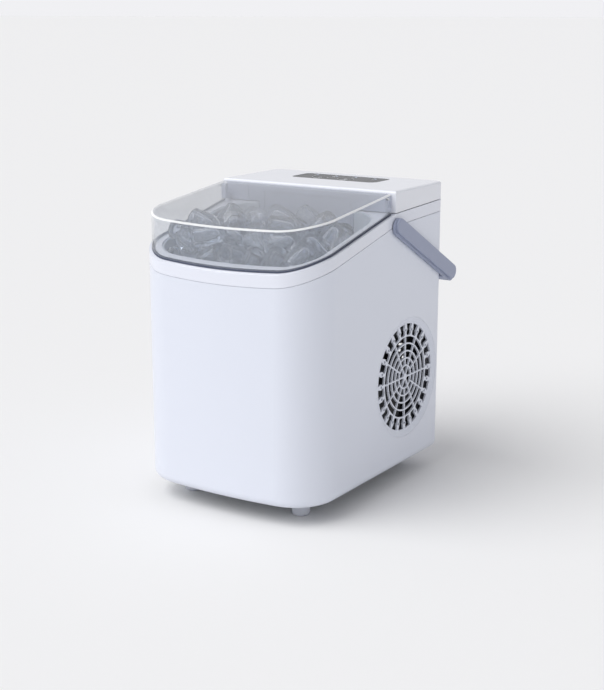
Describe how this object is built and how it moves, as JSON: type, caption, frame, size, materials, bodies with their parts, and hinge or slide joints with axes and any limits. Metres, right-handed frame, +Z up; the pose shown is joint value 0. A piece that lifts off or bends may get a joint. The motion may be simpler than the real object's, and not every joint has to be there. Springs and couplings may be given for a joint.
{
  "type": "countertop ice maker",
  "caption": "Countertop bullet ice maker with a clear hinged lid over an ice bin, carrying handle, touch panel and round side grille.",
  "frame": {"origin": "on the floor plane, under the middle of the whole machine's box", "axes": "+Z up; -Y is the front with the bin and lid; +X is the right side with the round grille"},
  "size_m": [0.222, 0.286, 0.309],
  "materials": {
    "casing_white": "glossy injection-moulded ABS",
    "collar_white": "satin ABS band",
    "lid_clear": "clear polycarbonate",
    "guard_grey": "smooth blue-grey ABS",
    "liner_grey": "food-grade polypropylene",
    "panel_black": "glossy black acrylic",
    "lens_white": "diffusing lens",
    "handle_grey": "satin blue-grey polypropylene",
    "ice_clear": "clear ice",
    "rubber_grey": "moulded rubber",
    "rubber_black": "moulded rubber",
    "steel": "zinc-plated steel",
    "stainless": "nickel-plated",
    "copper": "drawn copper",
    "aluminium": "rolled aluminium",
    "black_enamel": "black stoved enamel",
    "black_plastic": "moulded black nylon",
    "grille_white": "satin ABS",
    "foam_white": "expanded polystyrene",
    "board_green": "glass-epoxy board",
    "silicone": "clear silicone hose"
  },
  "bodies": {
    "casing": {"base_pan": "steel", "bin_liner": "liner_grey", "capillary_tube": "copper", "collar": "collar_white", "compressor": "black_enamel", "compressor_bolts": "steel", "compressor_bracket": "steel", "compressor_grommets": "rubber_black", "condenser_fins": "aluminium", "condenser_tube": "copper", "control_board": "board_green", "control_panel": "panel_black", "cord_gland": "rubber_black", "discharge_line": "copper", "drain_hose": "silicone", "drain_spout": "black_plastic", "evaporator_fingers": "stainless", "evaporator_plate": "copper", "evaporator_tube": "copper", "fan_frame": "black_plastic", "fan_motor": "steel", "filter_drier": "copper", "foot_screws": "steel", "handle_bushes": "black_plastic", "hot_gas_valve": "stainless", "ice_chamber": "liner_grey", "ice_level_sensors": "black_plastic", "indicator_lenses": "lens_white", "insulation_foam": "foam_white", "liquid_line": "copper", "outer_shell": "casing_white", "power_board": "board_green", "pump_hose": "silicone", "rear_panel": "casing_white", "rear_screws": "steel", "rubber_feet": "rubber_grey", "side_grille": "grille_white", "splash_guard": "guard_grey", "suction_line": "copper", "terminal_cover": "black_plastic", "top_cover": "casing_white", "tray_motor": "steel", "water_level_sensor": "black_plastic", "water_pump": "black_plastic", "wire_harness": "rubber_black"},
    "lid": {"lid": "lid_clear", "lid_hinge_pins": "stainless"},
    "carry_handle": {"handle": "handle_grey", "handle_pins": "stainless"},
    "fan": {"fan_rotor": "black_plastic"},
    "tray": {"water_tray": "black_plastic", "tray_shaft": "stainless", "ice_shovel": "black_plastic"},
    "basket": {"ice_basket": "liner_grey", "ice_bullets": "ice_clear"},
    "power_button": {"power_key": "panel_black"},
    "select_button": {"select_key": "panel_black"},
    "impeller": {"pump_impeller": "black_plastic"},
    "plug": {"drain_plug": "rubber_grey"}
  },
  "joints": [
    {"name": "lid_hinge", "type": "hinge", "parent": "casing", "child": "lid", "pos_m": [0, 0.008, 0.302], "axis": [-1, 0, 0], "range_deg": [0, 92]},
    {"name": "handle_swing", "type": "hinge", "parent": "casing", "child": "carry_handle", "pos_m": [0, 0.0295, 0.2677], "axis": [1, 0, 0], "range_deg": [0, 119]},
    {"name": "fan_spin", "type": "hinge", "parent": "casing", "child": "fan", "pos_m": [0, 0.047, 0.113], "axis": [1, 0, 0], "continuous": true},
    {"name": "tray_tilt", "type": "hinge", "parent": "casing", "child": "tray", "pos_m": [0, 0.096, 0.249], "axis": [1, 0, 0], "range_deg": [0, 55]},
    {"name": "basket_lift", "type": "slide", "parent": "casing", "child": "basket", "axis": [0, 0, 1], "range_m": [0, 0.004]},
    {"name": "power_key_press", "type": "slide", "parent": "casing", "child": "power_button", "axis": [0, 0, -1], "range_m": [0, 0.0008], "stiffness_N_per_m": 150},
    {"name": "select_key_press", "type": "slide", "parent": "casing", "child": "select_button", "axis": [0, 0, -1], "range_m": [0, 0.0008], "stiffness_N_per_m": 150},
    {"name": "impeller_spin", "type": "hinge", "parent": "casing", "child": "impeller", "pos_m": [0.034, -0.006, 0], "axis": [0, 0, 1], "continuous": true},
    {"name": "drain_plug_pull", "type": "slide", "parent": "casing", "child": "plug", "axis": [0, 1, 0], "range_m": [0, 0.014]}
  ]
}
